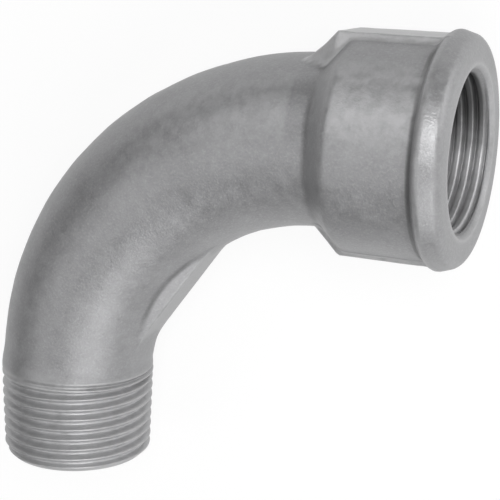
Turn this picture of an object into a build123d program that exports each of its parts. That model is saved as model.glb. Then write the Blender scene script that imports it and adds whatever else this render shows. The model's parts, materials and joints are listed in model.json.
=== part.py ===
"""Long 90 degree pipe bend with a male and a female end, nominal 3/4 inch, cast in one piece."""

import os
from math import asin, cos, degrees, radians, sin, tan

from build123d import *

os.makedirs("parts", exist_ok=True)

# Pipe thread, nominal 3/4 inch: radius over the crests of the male end, and height of the turns
male_thread_radius = 13.22
thread_depth = 1.16

# Bend, and the straight lengths that make up the reach of each end from the point where the axes cross
bend_radius = 46.5
male_leg = 13.5
neck_length = 0.8
socket_length = 21.7

# Walls: male end up to the crests of its thread, tube of the bend, and socket from the crests of its thread
male_wall = 2.82
wall = 3.0
socket_wall = 5.19

# Ends of the male thread and its bore
male_end_chamfer = 1.1
male_bore_chamfer = 0.5

# Sloping shoulder of the socket
shoulder_length = 3.7
shoulder_root_fillet = 1.6
shoulder_edge_fillet = 1.2

# Rounded bead round the mouth of the socket
bead_height = 1.25
bead_width = 4.6
bead_flank = 1.25
bead_root_fillet = 1.4
bead_chamfer = 1.3
bead_front_fillet = 1.0

# Female end: its thread, the chamfer of its mouth and the throat behind it
female_thread_length = 15.5
mouth_chamfer = 1.24
throat_length = 3.0

# Two flat ribs along the socket, above and below it on the parting plane
rib_width = 10.0
rib_rise = 0.25
rib_setback = 2.3

# Stub of the ingate, ground flat, on the inside of the bend
gate_angle = 36.0
gate_height = 1.5
gate_face_width = 5.4
gate_side_angle = 45.0

# Angle along the bend, from the male end, of the place where the tube lies on the floor
rest_angle = 21.7

# Radii that follow from the thread and the walls
bore_radius = male_thread_radius - male_wall
tube_radius = bore_radius + wall
female_thread_radius = male_thread_radius - thread_depth
mouth_radius = female_thread_radius + mouth_chamfer
socket_radius = female_thread_radius + socket_wall
bead_radius = socket_radius + bead_height

# Places that follow from the lengths: the socket's axis is +X and the male end's axis is -Y
male_reach = bend_radius + male_leg
shoulder_start = bend_radius + neck_length
shoulder_end = shoulder_start + shoulder_length
socket_reach = shoulder_start + socket_length
bead_start = socket_reach - bead_width
bead_top_start = bead_start + bead_flank
thread_start = socket_reach - mouth_chamfer
throat_end = socket_reach - female_thread_length
throat_start = throat_end - throat_length
bend_centre = Vector(bend_radius, -bend_radius)
bend_axis = Axis(bend_centre, (0, 0, -1))
male_face = Plane(origin=(0, -male_reach, 0), x_dir=(1, 0, 0), z_dir=(0, 1, 0))
bend_start = male_face.offset(male_leg)


def outward(angle):
    """Direction from the centre of the bend to its centre line, at this angle from the male end."""
    return Vector(-cos(radians(angle)), sin(radians(angle)))


def along(angle):
    """Direction of the centre line towards the socket, at this angle from the male end."""
    return Vector(sin(radians(angle)), cos(radians(angle)))


# Rib on the upper side of the socket, which slopes down to the tube where the bend ends
rib_root = tube_radius - wall / 2
rib_top = socket_radius + rib_rise
rib_end = socket_reach - bead_width / 2
with BuildPart() as rib:
    with BuildSketch(Plane.XY):
        with BuildLine():
            Polyline(
                (bend_radius, rib_root),
                (shoulder_start + rib_setback, rib_top),
                (rib_end, rib_top),
                (rib_end, rib_root),
                close=True,
            )
        make_face()
    extrude(amount=rib_width / 2, both=True)

# Stub of the ingate, a bar of trapezium section that lies along a chord of the bend
gate_distance = bend_radius - tube_radius - gate_height
gate_depth = gate_height + wall / 2
gate_root_width = gate_face_width + 2 * gate_depth / tan(radians(gate_side_angle))
gate_plane = Plane(
    origin=bend_centre + outward(gate_angle) * gate_distance,
    x_dir=(0, 0, 1),
    z_dir=along(gate_angle),
)
with BuildPart() as gate:
    with BuildSketch(gate_plane):
        Trapezoid(gate_root_width, gate_depth, gate_side_angle, align=(Align.CENTER, Align.MAX))
    extrude(amount=tube_radius, both=True)

# Core that leaves the water way: the bore through both legs and the bend, and the socket's cavity
with BuildPart() as core:
    with BuildSketch(male_face):
        Circle(bore_radius)
    extrude(amount=male_leg)
    with BuildSketch(bend_start):
        Circle(bore_radius)
    revolve(axis=bend_axis, revolution_arc=90)
    with BuildSketch(Plane.XY):
        with BuildLine():
            Polyline(
                (bend_radius, 0),
                (bend_radius, bore_radius),
                (throat_start, bore_radius),
                (throat_end, female_thread_radius),
                (thread_start, female_thread_radius),
                (socket_reach, mouth_radius),
                (socket_reach, 0),
                close=True,
            )
        make_face()
    revolve(axis=Axis.X)

# The whole casting, in the plane of its two axes
with BuildPart() as casting:
    # Male end
    with BuildSketch(male_face):
        Circle(male_thread_radius)
    extrude(amount=male_leg)
    chamfer(casting.faces().sort_by(Axis.Y)[0].edges(), male_end_chamfer)

    # Tube of the bend
    with BuildSketch(bend_start):
        Circle(tube_radius)
    revolve(axis=bend_axis, revolution_arc=90)

    # Shoulder, socket and bead, turned round the socket's axis
    with BuildSketch(Plane.XY) as socket_section:
        with BuildLine():
            Polyline(
                (bend_radius, 0),
                (bend_radius, tube_radius),
                (shoulder_start, tube_radius),
                (shoulder_end, socket_radius),
                (bead_start, socket_radius),
                (bead_top_start, bead_radius),
                (socket_reach - bead_chamfer, bead_radius),
                (socket_reach, bead_radius - bead_chamfer),
                (socket_reach, 0),
                close=True,
            )
        make_face()
        rounded_corners = (
            ((shoulder_start, tube_radius), shoulder_root_fillet),
            ((shoulder_end, socket_radius), shoulder_edge_fillet),
            ((bead_start, socket_radius), bead_root_fillet),
            ((socket_reach - bead_chamfer, bead_radius), bead_front_fillet),
        )
        for corner, radius in rounded_corners:
            fillet(socket_section.vertices().sort_by_distance(corner)[0], radius)
    revolve(axis=Axis.X)

    # Both ribs and the stub of the ingate
    add(rib.part)
    add(mirror(rib.part, about=Plane.XZ, mode=Mode.PRIVATE))
    add(gate.part)

    # Water way
    add(core.part, mode=Mode.SUBTRACT)
    chamfer(casting.faces().sort_by(Axis.Y)[0].inner_wires()[0].edges(), male_bore_chamfer)

# The casting as it lies: tipped until the tube and the back of the socket both touch the floor
rest_point = bend_centre + outward(rest_angle) * bend_radius
socket_point = Vector(shoulder_end + shoulder_edge_fillet / 2, 0)
rest_span = (rest_point - socket_point).dot(outward(rest_angle))
rest_tilt = degrees(asin((socket_radius - tube_radius) / rest_span))
tipped = casting.part.rotate(Axis(rest_point, along(rest_angle)), -rest_tilt)
box = tipped.bounding_box()
with BuildPart() as long_bend:
    with Locations((-box.center().X, -box.center().Y, -box.min.Z)):
        add(tipped)
long_bend.part.label = "long_bend"
export_step(long_bend.part, "parts/long_bend.step")
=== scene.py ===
"""Long pipe bend in galvanised cast iron, with both pipe threads cut, lying on a white floor."""

import json

import bpy
import numpy as np
from mathutils import Matrix, Vector


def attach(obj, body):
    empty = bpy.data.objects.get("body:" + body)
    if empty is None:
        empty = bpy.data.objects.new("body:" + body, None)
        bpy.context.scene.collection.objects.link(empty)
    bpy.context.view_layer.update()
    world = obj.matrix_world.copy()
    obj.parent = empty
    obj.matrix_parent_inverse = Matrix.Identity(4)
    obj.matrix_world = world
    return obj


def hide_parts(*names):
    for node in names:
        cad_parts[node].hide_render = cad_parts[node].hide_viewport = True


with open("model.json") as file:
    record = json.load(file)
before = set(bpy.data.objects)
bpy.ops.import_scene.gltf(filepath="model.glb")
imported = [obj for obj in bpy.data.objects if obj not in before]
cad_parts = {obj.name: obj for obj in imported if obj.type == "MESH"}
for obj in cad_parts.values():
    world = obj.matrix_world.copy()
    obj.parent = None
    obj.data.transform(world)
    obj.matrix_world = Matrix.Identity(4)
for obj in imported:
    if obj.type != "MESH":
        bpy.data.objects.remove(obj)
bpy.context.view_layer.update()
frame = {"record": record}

MM = 0.001
TAU = 2 * np.pi

# Bend in millimetres: the socket's axis is +X, the male end's axis is -Y and they cross at the origin
SOCKET_REACH = 69.0
MALE_REACH = 60.0
BEND_RADIUS = 46.5
BORE_RADIUS = 10.4

# Places along the centre line, from the male end: lengths along the socket's axis count from SOCKET_ZERO
MALE_LEG = MALE_REACH - BEND_RADIUS
BEND_END = MALE_LEG + BEND_RADIUS * np.pi / 2
SOCKET_ZERO = BEND_END - BEND_RADIUS
TOTAL = SOCKET_ZERO + SOCKET_REACH

# Tube, which grows over the first half of the bend and starts as a fuller blank above the male thread
TUBE_MALE_RADIUS = 12.9
TUBE_SOCKET_RADIUS = 13.75
BLANK_RADIUS = 13.3
BLANK_FADE = (15.6, 19.0)

# Pipe thread, nominal 3/4 inch: the taper is on the radius, flats are the pitch's shares of root and crest
PITCH = 1.8143
THREAD_DEPTH = 1.162
THREAD_RADIUS = 13.2205
GAUGE_LENGTH = 9.5
TAPER = 1 / 32
MALE_FLATS = (0.15, 0.05)
MALE_START = 0.48
MALE_RUNOUT = (13.8, 16.4)
MALE_SLANT = 1.0
FEMALE_FLATS = (0.0, 0.4)
FEMALE_START = 0.25
FEMALE_ENTRY = (0.2, 1.4)
FEMALE_RUNOUT = (13.0, 15.5)

# Male end, mouth of the socket and throat behind its thread
MALE_FACE_RADIUS = 11.75
MALE_CHAMFER = 1.1
MALE_END_ROUNDING = 0.12
BORE_CHAMFER = 0.5
BORE_EDGE_FILLET = 0.08
MOUTH_RADIUS = 13.3
MOUTH_FILLET = 0.12
MOUTH_EDGE = 0.5
MOUTH_ROUNDING = 0.1
THROAT_RADIUS = 12.0
THROAT_LENGTH = 3.0
THROAT_FILLET = 1.5

# Shoulder, socket and bead, with lengths along the socket's axis
NECK_START = 44.2
SHOULDER_START = 47.2
SHOULDER_END = 50.9
SOCKET_RADIUS = 17.25
BEAD_START = 64.4
BEAD_TOP_START = 65.5
BEAD_RADIUS = 18.65
BEAD_FRONT_RADIUS = 17.5
SHOULDER_ROOT_FILLET = 2.4
SHOULDER_EDGE_FILLET = 2.2
BEAD_ROOT_FILLET = 1.3
BEAD_TOP_FILLET = 1.1
BEAD_FRONT_FILLET = 1.8

# Ribs above and below the socket, which slope down to the tube at their feet
RIB_SPAN = (40.5, 66.2)
RIB_HALF_WIDTH = 5.2
RIB_SIDE_SLOPE = 0.35
RIB_TOP = 17.47
RIB_TOP_START = 48.5
RIB_BOTTOM = 17.2
RIB_BOTTOM_START = 50.0
RIB_FOOT = 4.0
RIB_FOOT_SLOPE = 1.05
RIB_EDGE_ROUNDING = 0.35
RIB_FILLET = 0.9

# Ground stub of the ingate, along a chord on the inside of the bend
GATE_ANGLE = np.radians(36.0)
GATE_DISTANCE = 31.5
GATE_HALF_WIDTH = 3.6
GATE_SIDE_SLOPE = 0.65
GATE_EDGE_ROUNDING = 0.25
GATE_FILLET = 0.4
GATE_END_FILLET = 0.8
GATE_END = (0.15, 0.3)

# Rings of the mesh: how close they stand, and the angle from its middle that a rib or the stub can reach
THREAD_RINGS = 12
TUBE_RINGS = 76
TUBE_STOP = 43.5
SOCKET_SPACING = 0.9
BORE_SPACING = 3.0
RING_GAP = 0.4
FEMALE_FIRST_RING = 0.65
ARC_STEP = np.radians(11.0)
BAR_REACH = np.radians(60.0)

# Waves of the cast skin: length, height and how many
CAST_WAVES = ((14.0, 0.035, 8), (6.0, 0.022, 14), (2.6, 0.012, 22))
CAST_START = (MALE_RUNOUT[1], MALE_RUNOUT[1] + 2.0)
CAST_FACE = (0.0, 1.0)


def smoothstep(low, high, value):
    """Rise from 0 at low to 1 at high, level at both ends."""
    share = np.clip((value - low) / (high - low), 0.0, 1.0)
    return share * share * (3.0 - 2.0 * share)


def turned_past(low, high, value):
    """Rise from 0 to 1 between two angles in degrees."""
    return smoothstep(np.radians(low), np.radians(high), value)


def soft_max(first, second, blend):
    """The larger of two radii, with a fillet of this size where they cross."""
    near = np.clip(1.0 - np.abs(first - second) / blend, 0.0, 1.0)
    return np.maximum(first, second) + near * near * blend / 4


def soft_min(first, second, blend):
    """The smaller of two radii, with the corner between them rounded."""
    return -soft_max(-first, -second, blend)


def unit(vector):
    """The vector scaled to length 1."""
    return vector / np.linalg.norm(vector)


def corner_arc(before, corner, after, fillet):
    """Points of the arc that rounds a corner between its two neighbours."""
    back = unit(before - corner)
    ahead = unit(after - corner)
    half = np.arccos(np.clip(back @ ahead, -1.0, 1.0)) / 2
    centre = corner + unit(back + ahead) * fillet / np.sin(half)
    reach = fillet / np.tan(half)
    start = corner + back * reach - centre
    end = corner + ahead * reach - centre
    turn = np.pi - 2 * half
    steps = max(2, int(np.ceil(turn / ARC_STEP)))
    shares = np.linspace(0.0, 1.0, steps + 1)
    return [centre + (np.sin((1 - s) * turn) * start + np.sin(s * turn) * end) / np.sin(turn) for s in shares]


def rounded_profile(corners, spacing):
    """Points (place, radius) along a line with corners (place, radius, fillet), each corner rounded."""
    ends = [np.array(corner[:2]) for corner in corners]
    path = [ends[0]]
    for before, here, after, corner in zip(ends, ends[1:], ends[2:], corners[1:]):
        path += corner_arc(before, here, after, corner[2])
    path.append(ends[-1])
    points = [path[0]]
    for first, second in zip(path, path[1:]):
        parts = max(1, int(np.ceil(np.linalg.norm(second - first) / spacing)))
        points += [first + (second - first) * part / parts for part in range(1, parts + 1)]
    return np.array(points)


def stacked(places, start_radius):
    """Rings (place, radius) of one radius."""
    return np.stack([places, np.full_like(places, start_radius)], axis=1)


# Angles round each section, from the inside of the bend: runs in degrees, closest at the ribs and the stub
angle_runs = (
    (0.0, 5.5, 4),
    (5.5, 13.0, 10),
    (13.0, 15.0, 3),
    (15.0, 21.0, 15),
    (21.0, 24.0, 2),
    (24.0, 156.0, 60),
    (156.0, 159.0, 2),
    (159.0, 165.0, 15),
    (165.0, 180.0, 8),
)
half_angles = np.concatenate([np.linspace(*run, endpoint=False) for run in angle_runs])
angles = np.radians(np.concatenate([half_angles, [180.0], 360.0 - half_angles[:0:-1]]))
inner_angle = np.minimum(angles, TAU - angles)

# Rings of the closed section, from the male end over the outside to the mouth and back through the bore
ring_step = PITCH / THREAD_RINGS
male_places = np.arange(0.0, MALE_RUNOUT[1] + MALE_SLANT + RING_GAP, ring_step)
tube_places = np.linspace(male_places[-1] + RING_GAP, SOCKET_ZERO + TUBE_STOP, TUBE_RINGS)
female_depths = np.arange(FEMALE_FIRST_RING, FEMALE_RUNOUT[1], ring_step)
socket_corners = [
    (NECK_START, TUBE_SOCKET_RADIUS, 0.0),
    (SHOULDER_START, TUBE_SOCKET_RADIUS, SHOULDER_ROOT_FILLET),
    (SHOULDER_END, SOCKET_RADIUS, SHOULDER_EDGE_FILLET),
    (BEAD_START, SOCKET_RADIUS, BEAD_ROOT_FILLET),
    (BEAD_TOP_START, BEAD_RADIUS, BEAD_TOP_FILLET),
    (SOCKET_REACH, BEAD_FRONT_RADIUS, BEAD_FRONT_FILLET),
    (SOCKET_REACH, MOUTH_RADIUS, MOUTH_FILLET),
    (SOCKET_REACH - MOUTH_EDGE, MOUTH_RADIUS - MOUTH_EDGE, 0.0),
]
throat_end = TOTAL - FEMALE_RUNOUT[1]
bore_corners = [
    (throat_end - RING_GAP, THROAT_RADIUS, 0.0),
    (throat_end - THROAT_LENGTH, BORE_RADIUS, THROAT_FILLET),
    (BORE_CHAMFER, BORE_RADIUS, BORE_EDGE_FILLET),
    (0.0, BORE_RADIUS + BORE_CHAMFER, BORE_EDGE_FILLET),
    (0.0, MALE_FACE_RADIUS, 0.0),
]
sections = {
    "male": stacked(male_places, THREAD_RADIUS),
    "tube": stacked(tube_places, TUBE_MALE_RADIUS),
    "socket": rounded_profile(socket_corners, SOCKET_SPACING) + (SOCKET_ZERO, 0.0),
    "female": stacked(TOTAL - female_depths, THREAD_RADIUS),
    "bore": rounded_profile(bore_corners, BORE_SPACING),
}
kinds = np.repeat(list(sections), [len(rings) for rings in sections.values()])
on_male, on_tube, on_socket, on_female, on_bore = (kinds == name for name in sections)
place, start_radius = np.split(np.concatenate(list(sections.values())), 2, axis=1)
along_socket = place - SOCKET_ZERO
radius = np.repeat(start_radius, len(angles), axis=1)
angle = angles[None, :]

# Tube of the bend
bend_share = np.clip((place - MALE_LEG) / (BEND_END - MALE_LEG), 0.0, 0.5)
tube_radius = TUBE_MALE_RADIUS + (TUBE_SOCKET_RADIUS - TUBE_MALE_RADIUS) * np.sin(np.pi * bend_share)
tube_radius += (BLANK_RADIUS - TUBE_MALE_RADIUS) * (1 - smoothstep(*BLANK_FADE, place))
radius[on_tube] = tube_radius[on_tube]


def thread_cut(places, start, flats):
    """0 on the crests of a right-hand thread and 1 in its roots."""
    root, crest = flats
    phase = (places / PITCH + angle / TAU + start) % 1.0
    return 1 - smoothstep(root, 1 - crest, 2 * np.abs(phase - 0.5))


# Male thread, tapered, which runs out on a slant below the tube
where = place[on_male]
male_cut = thread_cut(where, MALE_START, MALE_FLATS)
male_cut *= 1 - smoothstep(*MALE_RUNOUT, where - MALE_SLANT * np.cos(angle))
male_crest = np.minimum(THREAD_RADIUS + (where - GAUGE_LENGTH) * TAPER, tube_radius[on_male])
end_radius = THREAD_RADIUS - GAUGE_LENGTH * TAPER - MALE_CHAMFER
radius[on_male] = soft_min(male_crest - THREAD_DEPTH * male_cut, end_radius + where, MALE_END_ROUNDING)

# Female thread, parallel, which starts behind the chamfer of the mouth
depth = TOTAL - place[on_female]
female_cut = thread_cut(-depth, FEMALE_START, FEMALE_FLATS) * smoothstep(*FEMALE_ENTRY, depth)
female_cut *= 1 - smoothstep(*FEMALE_RUNOUT, depth)
female_crest = THREAD_RADIUS - THREAD_DEPTH
radius[on_female] = soft_max(female_crest + THREAD_DEPTH * female_cut, MOUTH_RADIUS - depth, MOUTH_ROUNDING)


def bar(top, half_width, side_slope, turned):
    """Radii of the flat top and of the sloping side of a bar, at angles turned from its middle."""
    across = np.clip(turned, 0.0, BAR_REACH)[None, :]
    crown = top / np.cos(across)
    flank = (half_width + side_slope * top) / (np.sin(across) + side_slope * np.cos(across))
    return crown, flank


# Ribs, with their share of the surface, which gets a painted highlight, and the zone in which the painted
# shade of corners is mostly left out
chosen = (on_tube | on_socket) & (along_socket[:, 0] > RIB_SPAN[0]) & (along_socket[:, 0] < RIB_SPAN[1])
rib_share = np.zeros_like(radius)
rib_zone = np.zeros_like(radius)
ribs = ((RIB_BOTTOM, RIB_BOTTOM_START, inner_angle), (RIB_TOP, RIB_TOP_START, np.pi - inner_angle))
for height, start, turned in ribs:
    foot = np.minimum(0.0, (along_socket[chosen] - start) * RIB_FOOT_SLOPE)
    top = np.maximum(height + foot, RIB_FOOT)
    rib = soft_min(*bar(top, RIB_HALF_WIDTH, RIB_SIDE_SLOPE, turned), RIB_EDGE_ROUNDING)
    near = turned < BAR_REACH
    rib_share[chosen] += smoothstep(-0.5, 0.0, rib - radius[chosen]) * near
    rib_zone[chosen] += 1 - turned_past(22.0, 30.0, turned)
    radius[chosen] = np.where(near, soft_max(radius[chosen], rib, RIB_FILLET), radius[chosen])

# Ground stub of the ingate, with its ground face and how far the painted shade in its crease fades, most of
# all at its ends
from_middle = (place[on_tube] - MALE_LEG) / BEND_RADIUS - GATE_ANGLE
top = BEND_RADIUS - GATE_DISTANCE / np.cos(np.clip(from_middle, -1.0, 1.0))
crown, flank = bar(top, GATE_HALF_WIDTH, GATE_SIDE_SLOPE, inner_angle)
gate = soft_min(crown, flank, GATE_EDGE_ROUNDING)
gate_end = smoothstep(*GATE_END, np.abs(from_middle))
gate_fillet = GATE_FILLET + (GATE_END_FILLET - GATE_FILLET) * gate_end
near = inner_angle < BAR_REACH
ground = np.zeros_like(radius)
ground[on_tube] = smoothstep(-0.1, 0.25, gate - radius[on_tube]) * near * smoothstep(-0.2, 0.1, flank - crown)
gate_corner = np.zeros_like(radius)
gate_corner[on_tube] = (0.15 + 0.75 * gate_end) * (inner_angle < np.radians(40.0))
radius[on_tube] = np.where(near, soft_max(radius[on_tube], gate, gate_fillet), radius[on_tube])

# Points of the rings, in the plane of the two axes
turn = np.clip((place - MALE_LEG) / BEND_RADIUS, 0.0, np.pi / 2)
bend_centre = np.array([BEND_RADIUS, -BEND_RADIUS, 0.0])
outward = np.concatenate([-np.cos(turn), np.sin(turn), np.zeros_like(turn)], axis=1)
centre = bend_centre + BEND_RADIUS * outward
centre[:, 1] += np.minimum(0.0, place[:, 0] - MALE_LEG)
centre[:, 0] += np.maximum(0.0, place[:, 0] - BEND_END)
side = np.array([0.0, 0.0, 1.0])
spoke = -outward[:, None, :] * np.cos(angle)[..., None] + side * np.sin(angle)[..., None]
points = centre[:, None, :] + radius[..., None] * spoke

# Uneven skin of the casting, in waves of several lengths, on everything that isn't machined
rng = np.random.default_rng(7)
as_cast = (on_tube | on_socket | on_bore)[:, None] * smoothstep(*CAST_START, place) * (1 - ground)
as_cast[on_socket] *= smoothstep(*CAST_FACE, TOTAL - place[on_socket])
relief = np.zeros_like(radius)
for length, height, count in CAST_WAVES:
    for wave in range(count):
        direction = unit(rng.normal(size=3)) * TAU / (length * rng.uniform(0.75, 1.35))
        relief += height / np.sqrt(count) * np.sin(points @ direction + rng.uniform(0, TAU))
points = points + (relief * as_cast)[..., None] * spoke


def bending(grid, normals, axis):
    """How sharply the surface bends along one way of the grid: above 0 on edges, below 0 in corners."""
    ahead = np.roll(grid, -1, axis) - grid
    behind = grid - np.roll(grid, 1, axis)
    ahead_length = np.linalg.norm(ahead, axis=2, keepdims=True)
    behind_length = np.linalg.norm(behind, axis=2, keepdims=True)
    swing = 2 * (ahead / ahead_length - behind / behind_length) / (ahead_length + behind_length)
    return -np.sum(swing * normals, axis=2)


# Sharpness of the surface, across the rings and round them, smoothed over its neighbours
along = np.roll(points, -1, 0) - np.roll(points, 1, 0)
around = np.roll(points, -1, 1) - np.roll(points, 1, 1)
normals = np.cross(along, around)
normals /= np.linalg.norm(normals, axis=2, keepdims=True)
sharpness = bending(points, normals, 0) + bending(points, normals, 1)
for axis in (0, 1, 0, 1):
    sharpness = (np.roll(sharpness, 1, axis) + 2 * sharpness + np.roll(sharpness, -1, axis)) / 4

# Painted shade on the upper side of the female thread, deepest in its roots, and a lighter stain on the
# chamfer of the mouth
shaded_side = turned_past(70.0, 120.0, inner_angle)
inside = smoothstep(0.8, 1.6, depth)
shade_and_stain = np.zeros_like(radius)
shade_and_stain[on_female] = shaded_side * (0.88 + 0.1 * female_cut) * inside + 0.35 * (1 - inside)

# Machined skin: both threads, less so where the male thread runs out, and the ground face of the stub
runs_out = smoothstep(MALE_RUNOUT[1] - 1.2, MALE_RUNOUT[1] + 0.3, place[on_male])
machined = 0.7 * ground
machined[on_male] = 1 - 0.8 * runs_out
machined[on_female] = inside

# Edges lighter by wear, ribs lighter by a painted highlight, and painted shade in the concave corners, kept
# mostly off the ribs and the stub
edge = np.maximum(smoothstep(0.25, 1.6, sharpness), 2.0 * rib_share)
edge[on_female] *= 0.4 * (1 - shaded_side)
corner = smoothstep(0.05, 0.7, -sharpness) * (1 - 0.8 * machined)
corner[on_female] *= shaded_side
corner *= 1 - np.maximum(gate_corner, 0.9 * rib_zone)

# Painted highlight above the middle of both sides of the bend and the socket, lighter grooves in the male
# thread, and painted light low in the mouth
patch = turned_past(85.0, 115.0, inner_angle) * (1 - turned_past(130.0, 150.0, inner_angle))
painted_light_and_tone = np.zeros_like(radius)
painted_light_and_tone[on_tube] = 0.5 * smoothstep(BEND_END - 42.0, BEND_END - 12.0, place[on_tube]) * patch
on_bead = smoothstep(BEAD_START - 0.9, BEAD_START + 0.6, along_socket[on_socket])
past_shoulder = smoothstep(SHOULDER_END - 0.4, SHOULDER_END + 1.1, along_socket[on_socket])
painted_light_and_tone[on_socket] = past_shoulder * (1 - 0.8 * on_bead) * patch
painted_light_and_tone[on_male] = 0.6 * male_cut
painted_light_and_tone[on_female] = (1 - shaded_side) * inside

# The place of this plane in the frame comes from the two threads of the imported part
mounts = {mount["name"]: mount for mount in frame["record"]["mounts"]}
male_point = np.array(mounts["male_thread"]["pos_m"]) / MM
male_axis = unit(np.array(mounts["male_thread"]["axis"]))
socket_point = np.array(mounts["socket_thread"]["pos_m"]) / MM
socket_axis = unit(np.array(mounts["socket_thread"]["axis"]))
crossing = male_point + male_axis * ((socket_point - male_point) @ male_axis)
turned_axes = np.stack([socket_axis, -male_axis, np.cross(socket_axis, -male_axis)], axis=1)


def to_frame(grid):
    """From the plane of the two axes, in millimetres, to the frame, in metres."""
    return (crossing + grid @ turned_axes.T) * MM


# One closed mesh, with the zones of its surface as attributes
ring_count, angle_count = radius.shape
corner_ring = np.arange(ring_count)[:, None]
corner_angle = np.arange(angle_count)[None, :]
next_ring = (corner_ring + 1) % ring_count
next_angle = (corner_angle + 1) % angle_count
faces = np.stack(
    [
        corner_ring * angle_count + corner_angle,
        next_ring * angle_count + corner_angle,
        next_ring * angle_count + next_angle,
        corner_ring * angle_count + next_angle,
    ],
    axis=2,
)
mesh = bpy.data.meshes.new("bend_casting")
mesh.from_pydata(to_frame(points.reshape(-1, 3)).tolist(), [], faces.reshape(-1, 4).tolist())
mesh.shade_smooth()
zones = {"edge": edge, "corner": corner, "machined": machined, "shade_and_stain": shade_and_stain, "painted_light_and_tone": painted_light_and_tone}
for name, values in zones.items():
    layer = mesh.attributes.new(name, "FLOAT", "POINT")
    layer.data.foreach_set("value", values.astype(np.float32).ravel())
casting = bpy.data.objects.new("bend_casting", mesh)
bpy.context.scene.collection.objects.link(casting)
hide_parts("long_bend")
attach(casting, "root")


class Nodes:
    """A material's node tree, with short calls for the nodes used here."""

    def __init__(self, name):
        self.material = bpy.data.materials.new(name)
        self.material.use_nodes = True
        self.tree = self.material.node_tree
        self.tree.nodes.clear()

    def add(self, kind, **settings):
        node = self.tree.nodes.new(kind)
        for name, value in settings.items():
            setattr(node, name, value)
        return node

    def put(self, socket, value):
        """Link another node's output to this socket, or set its own value."""
        if isinstance(value, bpy.types.NodeSocket):
            self.tree.links.new(value, socket)
        else:
            socket.default_value = value

    def set(self, node, **inputs):
        for name, value in inputs.items():
            self.put(node.inputs[name.replace("_", " ")], value)

    def noise(self, where, scale, detail, roughness):
        node = self.add("ShaderNodeTexNoise")
        self.set(node, Vector=where, Scale=scale, Detail=detail, Roughness=roughness)
        return node.outputs["Fac"]

    def spread(self, value, low, high, to_low, to_high):
        node = self.add("ShaderNodeMapRange")
        self.set(node, Value=value, From_Min=low, From_Max=high, To_Min=to_low, To_Max=to_high)
        return node.outputs["Result"]

    def math(self, kind, first, second):
        node = self.add("ShaderNodeMath", operation=kind)
        self.put(node.inputs[0], first)
        self.put(node.inputs[1], second)
        return node.outputs["Value"]

    def zone(self, name):
        return self.add("ShaderNodeAttribute", attribute_name=name).outputs["Fac"]

    def share(self, name, factor):
        """A zone of the surface, times a factor."""
        return self.math("MULTIPLY", self.zone(name), factor)

    def ramp(self, value, *stops):
        """Greys between two stops, each a place on the ramp and its grey."""
        node = self.add("ShaderNodeValToRGB")
        for element, (position, grey) in zip(node.color_ramp.elements, stops):
            element.position = position
            element.color = (grey, grey, grey * 1.01, 1.0)
        self.put(node.inputs["Fac"], value)
        return node.outputs["Color"]

    def mix(self, share, first, second, kind="MIX"):
        node = self.add("ShaderNodeMix", data_type="RGBA", blend_type=kind)
        for index, value in ((0, share), (6, first), (7, second)):
            self.put(node.inputs[index], value)
        return node.outputs[2]

    def finish(self, shader):
        output = self.add("ShaderNodeOutputMaterial")
        self.put(output.inputs["Surface"], shader)
        return self.material


def galvanised_casting():
    """Mottled zinc, with painted shade in the corners and on the upper side of the mouth, worn edges, a
    painted highlight on the ribs and the socket, and bare on the threads and the ground face.
    """
    sparkle_grey = (0.55, 0.55, 0.56, 1.0)
    # Grey of the painted highlight, the painted light and the lighter grooves
    painted_light_grey = (0.6, 0.6, 0.61, 1.0)
    # Painted shade for the concave corners
    corner_shade = (0.08, 0.08, 0.08, 1.0)
    # Painted shade for the upper side of the mouth, and stain for its chamfer
    mouth_shade_and_stain = (0.05, 0.05, 0.05, 1.0)
    zinc = Nodes("galvanised_casting")
    where = zinc.add("ShaderNodeTexCoord").outputs["Object"]
    broad = zinc.noise(where, scale=160.0, detail=4.0, roughness=0.55)
    medium = zinc.noise(where, scale=620.0, detail=4.0, roughness=0.6)
    fine = zinc.noise(where, scale=2600.0, detail=3.0, roughness=0.6)
    mottle = zinc.ramp(broad, (0.32, 0.33), (0.68, 0.36))
    grains = zinc.ramp(medium, (0.3, 0.8), (0.7, 1.0))
    specks = zinc.ramp(fine, (0.28, 0.7), (0.45, 1.0))
    sparkle = zinc.math("MULTIPLY", zinc.spread(fine, 0.52, 0.72, 0.0, 1.0), 0.25)
    # Grey of worn edges and of the painted highlight on the ribs
    wear_and_highlight = zinc.ramp(medium, (0.3, 0.5), (0.7, 0.62))
    bare = zinc.ramp(medium, (0.3, 0.43), (0.7, 0.53))
    # Mottled strength of the painted highlight and painted light
    painted_light_mottle = zinc.spread(medium, 0.35, 0.65, 0.35, 0.7)
    colour = zinc.mix(0.7, mottle, grains, "MULTIPLY")
    colour = zinc.mix(0.3, colour, specks, "MULTIPLY")
    colour = zinc.mix(sparkle, colour, sparkle_grey)
    # Painted shade in the corners, worn edges and a painted highlight on the ribs, bare metal, painted
    # highlight and painted light, then painted shade in the mouth
    colour = zinc.mix(zinc.share("corner", 0.75), colour, corner_shade)
    colour = zinc.mix(zinc.share("edge", 0.4), colour, wear_and_highlight)
    colour = zinc.mix(zinc.share("machined", 0.6), colour, bare)
    colour = zinc.mix(zinc.share("painted_light_and_tone", painted_light_mottle), colour, painted_light_grey)
    colour = zinc.mix(zinc.share("shade_and_stain", 0.9), colour, mouth_shade_and_stain)
    rough = zinc.spread(medium, 0.3, 0.7, 0.38, 0.52)
    height = zinc.math("ADD", zinc.math("MULTIPLY", medium, 0.5), zinc.math("MULTIPLY", fine, 0.4))
    bump = zinc.add("ShaderNodeBump")
    zinc.set(bump, Strength=zinc.spread(zinc.zone("machined"), 0.0, 1.0, 0.55, 0.15))
    zinc.set(bump, Distance=0.00022, Height=height)
    surface = zinc.add("ShaderNodeBsdfPrincipled")
    zinc.set(surface, Base_Color=colour, Metallic=0.55, Roughness=rough, Normal=bump.outputs["Normal"])
    return zinc.finish(surface.outputs["BSDF"])


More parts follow.
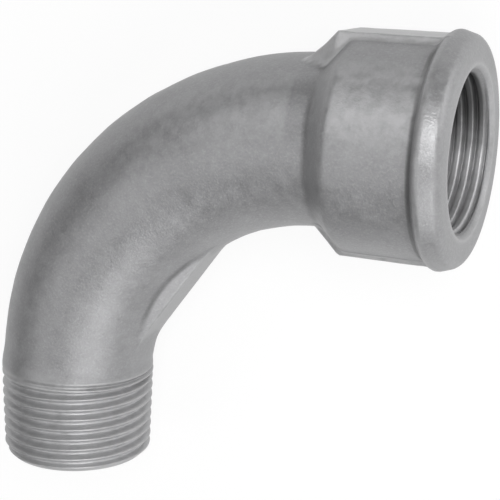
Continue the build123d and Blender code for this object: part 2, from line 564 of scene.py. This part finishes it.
def white_floor():
    """White to the camera and in reflections, with a share of plain grey that keeps the part's shadow."""
    paper = Nodes("white_floor")
    diffuse = paper.add("ShaderNodeBsdfDiffuse")
    paper.set(diffuse, Color=(0.45, 0.45, 0.45, 1.0))
    glow = paper.add("ShaderNodeEmission")
    paper.set(glow, Color=(1.0, 1.0, 1.0, 1.0), Strength=1.18)
    path = paper.add("ShaderNodeLightPath")
    seen = paper.math("MAXIMUM", path.outputs["Is Camera Ray"], path.outputs["Is Glossy Ray"])
    seen = paper.math("MAXIMUM", seen, path.outputs["Is Transmission Ray"])
    blend = paper.add("ShaderNodeMixShader")
    glow_share = paper.math("MULTIPLY", seen, 0.75)
    for socket, value in zip(blend.inputs, (glow_share, diffuse.outputs["BSDF"], glow.outputs["Emission"])):
        paper.put(socket, value)
    return paper.finish(blend.outputs["Shader"])


casting.data.materials.append(galvanised_casting())

# Floor
FLOOR_HALF = 4.0
floor_corners = [(FLOOR_HALF * x, FLOOR_HALF * y, 0.0) for x, y in ((-1, -1), (1, -1), (1, 1), (-1, 1))]
floor_mesh = bpy.data.meshes.new("floor")
floor_mesh.from_pydata(floor_corners, [], [(0, 1, 2, 3)])
floor_mesh.materials.append(white_floor())
floor = bpy.data.objects.new("floor", floor_mesh)
bpy.context.scene.collection.objects.link(floor)

# Camera, which looks down on the lying part as the photograph looks at it: focal length and shift in pixels
IMAGE = 500
SENSOR = 36.0
AZIMUTH, ELEVATION, ROLL = np.radians([23.426, 13.2, 1.669])
DISTANCE = 221.88
FOCAL = 1348.0
TARGET = np.array([33.365, -18.41, 0.0])
CENTRE_SHIFT = (3.222, -6.164)
level_back = np.array([np.sin(AZIMUTH), 0.0, np.cos(AZIMUTH)])
back = np.cos(ELEVATION) * level_back + np.sin(ELEVATION) * np.array([0.0, 1.0, 0.0])
level = np.array([np.cos(AZIMUTH), 0.0, -np.sin(AZIMUTH)])
right = np.cos(ROLL) * level + np.sin(ROLL) * np.cross(back, level)
up = np.cross(back, right)
camera_axes = turned_axes @ np.stack([right, up, back], axis=1)
camera_place = Matrix.Translation(to_frame(TARGET + back * DISTANCE))
camera_data = bpy.data.cameras.new("camera")
camera_data.sensor_width = SENSOR
camera_data.lens = FOCAL * SENSOR / IMAGE
camera_data.shift_x = -CENTRE_SHIFT[0] / IMAGE
camera_data.shift_y = CENTRE_SHIFT[1] / IMAGE
camera_data.clip_start = 0.01
camera = bpy.data.objects.new("camera", camera_data)
camera.matrix_world = camera_place @ Matrix(camera_axes.tolist()).to_4x4()
bpy.context.scene.collection.objects.link(camera)
bpy.context.scene.camera = camera

# Where the lamps aim: at the middle of the part, and the small one at the near side of the socket
MIDDLE = np.array([25.0, -20.0, 0.0])
SOCKET_SIDE = np.array([58.0, 8.4, 15.1])


def lamp(name, offset, size, power, aim=MIDDLE, distance=0.8, spread=180.0):
    """A round lamp, placed by how far it stands to the right, up and towards the camera from its aim."""
    data = bpy.data.lights.new(name, "AREA")
    data.shape = "DISK"
    data.size = size
    data.energy = power
    data.spread = np.radians(spread)
    item = bpy.data.objects.new(name, data)
    way = Vector((camera_axes @ unit(np.array(offset))).tolist())
    stand = Matrix.Translation(Vector(to_frame(aim)) + way * distance)
    item.matrix_world = stand @ way.to_track_quat("Z", "Y").to_matrix().to_4x4()
    bpy.context.scene.collection.objects.link(item)


# Soft studio light, with a small close lamp for the bright side of the socket
lamp("key", (0.1, 0.08, 1.0), size=0.42, power=3.6)
lamp("right", (0.9, 0.4, 0.45), size=0.5, power=1.8)
lamp("low", (0.1, -0.9, 0.6), size=0.7, power=2.95)
lamp("left", (-0.8, -0.3, 0.6), size=0.7, power=1.4)
lamp("right_low", (0.65, -0.55, 0.55), size=0.6, power=1.1)
lamp(
    "socket_light",
    (-0.615, 0.43, 0.63),
    size=0.14,
    power=0.0058,
    aim=SOCKET_SIDE,
    distance=0.25,
    spread=32.0,
)

# Dim white world
world = bpy.data.worlds.new("pale_world")
world.use_nodes = True
background = world.node_tree.nodes["Background"]
background.inputs["Color"].default_value = (1.0, 1.0, 1.0, 1.0)
background.inputs["Strength"].default_value = 0.04
bpy.context.scene.world = world
bpy.context.scene.view_settings.view_transform = "Standard"
